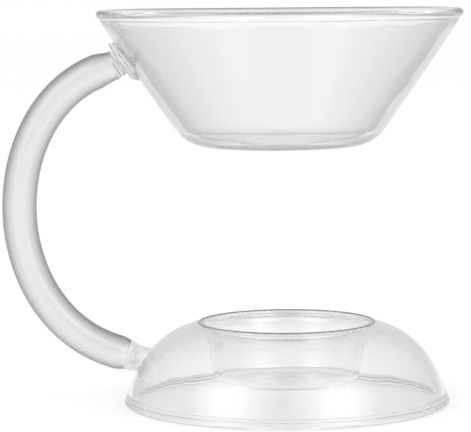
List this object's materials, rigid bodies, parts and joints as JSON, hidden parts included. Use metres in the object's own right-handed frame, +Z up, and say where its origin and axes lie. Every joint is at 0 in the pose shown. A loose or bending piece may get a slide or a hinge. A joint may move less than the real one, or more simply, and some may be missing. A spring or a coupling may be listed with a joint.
{
  "type": "aroma lamp",
  "caption": "Clear glass aroma lamp: a conical oil bowl held over a candle cup by a hollow C-shaped glass arm that rises from an open domed base.",
  "frame": {"origin": "on the table, under the middle of the whole lamp's bounding box", "axes": "+Z up, +X from the arm towards the bowl's free side, +Y away from the viewer of the picture"},
  "size_m": [0.136, 0.1076, 0.1166],
  "materials": {
    "clear_glass": "clear borosilicate glass, fire polished",
    "weld_glass": "clear borosilicate glass with flame-worked ripples"
  },
  "bodies": {
    "root": {"bowl": "clear_glass", "upper_weld_collar": "weld_glass", "arm_tube": "clear_glass", "lower_weld_collar": "weld_glass", "base_dome": "clear_glass", "cup_seal_ring": "weld_glass", "candle_cup": "clear_glass"}
  },
  "joints": []
}
